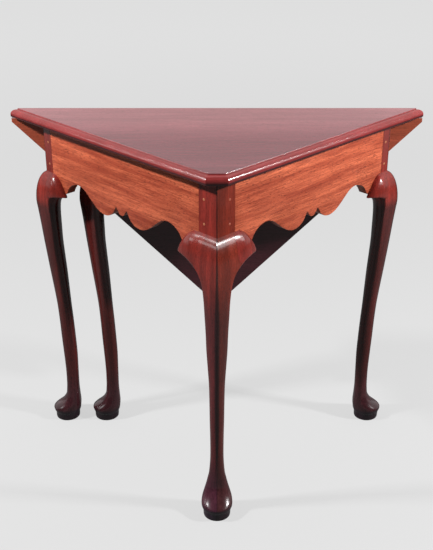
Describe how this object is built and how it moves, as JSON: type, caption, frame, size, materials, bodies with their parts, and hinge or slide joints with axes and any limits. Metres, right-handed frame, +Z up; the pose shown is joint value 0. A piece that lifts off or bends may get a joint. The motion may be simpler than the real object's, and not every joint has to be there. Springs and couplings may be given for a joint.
{
  "type": "drop-leaf corner table",
  "caption": "Triangular corner table with a drop leaf of the same shape, cabriole legs with pad feet, scalloped aprons and a swing leg.",
  "frame": {"origin": "bottom centre of the table's box with the leaf hanging, on the floor", "axes": "+Z up, +X along the long side to the right, -Y towards the front corner"},
  "size_m": [0.832, 0.4308, 0.711],
  "materials": {
    "polished_top_mahogany": "high gloss polish",
    "apron_mahogany": "satin",
    "leg_mahogany": "gloss polish",
    "inner_hardwood": "unfinished",
    "peg_wood": "satin",
    "hinge_brass": "aged",
    "screw_steel": "plain"
  },
  "bodies": {
    "frame": {"top_board": "polished_top_mahogany", "front_leg": "leg_mahogany", "left_leg": "leg_mahogany", "right_leg": "leg_mahogany", "left_apron": "apron_mahogany", "right_apron": "apron_mahogany", "rear_rail": "inner_hardwood", "fixed_fly_rail": "inner_hardwood", "knuckle_pin": "screw_steel", "left_hinge_top_plate": "hinge_brass", "right_hinge_top_plate": "hinge_brass", "left_hinge_pin": "hinge_brass", "right_hinge_pin": "hinge_brass", "top_plate_screw_1": "screw_steel", "top_plate_screw_2": "screw_steel", "top_plate_screw_3": "screw_steel", "top_plate_screw_4": "screw_steel", "top_plate_screw_5": "screw_steel", "top_plate_screw_6": "screw_steel", "front_left_peg_1": "peg_wood", "front_left_peg_2": "peg_wood", "front_right_peg_1": "peg_wood", "front_right_peg_2": "peg_wood", "rear_left_peg_1": "peg_wood", "rear_left_peg_2": "peg_wood", "rear_right_peg_1": "peg_wood", "rear_right_peg_2": "peg_wood", "front_left_knee_block": "leg_mahogany", "front_right_knee_block": "leg_mahogany", "rear_left_knee_block": "leg_mahogany", "rear_right_knee_block": "leg_mahogany", "top_button_1": "inner_hardwood", "top_button_2": "inner_hardwood", "top_button_3": "inner_hardwood", "top_button_4": "inner_hardwood", "button_screw_1": "screw_steel", "button_screw_2": "screw_steel", "button_screw_3": "screw_steel", "button_screw_4": "screw_steel", "fly_rail_screw_1": "screw_steel", "fly_rail_screw_2": "screw_steel", "fly_rail_screw_3": "screw_steel", "left_glue_block": "inner_hardwood", "right_glue_block": "inner_hardwood"},
    "leaf": {"drop_leaf": "polished_top_mahogany", "left_hinge_leaf_plate": "hinge_brass", "right_hinge_leaf_plate": "hinge_brass", "leaf_plate_screw_1": "screw_steel", "leaf_plate_screw_2": "screw_steel", "leaf_plate_screw_3": "screw_steel", "leaf_plate_screw_4": "screw_steel", "leaf_plate_screw_5": "screw_steel", "leaf_plate_screw_6": "screw_steel"},
    "swing_leg_and_rail": {"swing_leg": "leg_mahogany", "swing_fly_rail": "inner_hardwood", "swing_leg_peg_1": "peg_wood", "swing_leg_peg_2": "peg_wood"}
  },
  "joints": [
    {"name": "leaf_hinge", "type": "hinge", "parent": "frame", "child": "leaf", "pos_m": [0, 0.1929, 0.6885], "axis": [1, 0, 0], "range_deg": [0, 90]},
    {"name": "swing_leg_knuckle", "type": "hinge", "parent": "frame", "child": "swing_leg_and_rail", "pos_m": [0, 0.157, 0.604], "axis": [0, 0, -1], "range_deg": [0, 0.8]}
  ]
}
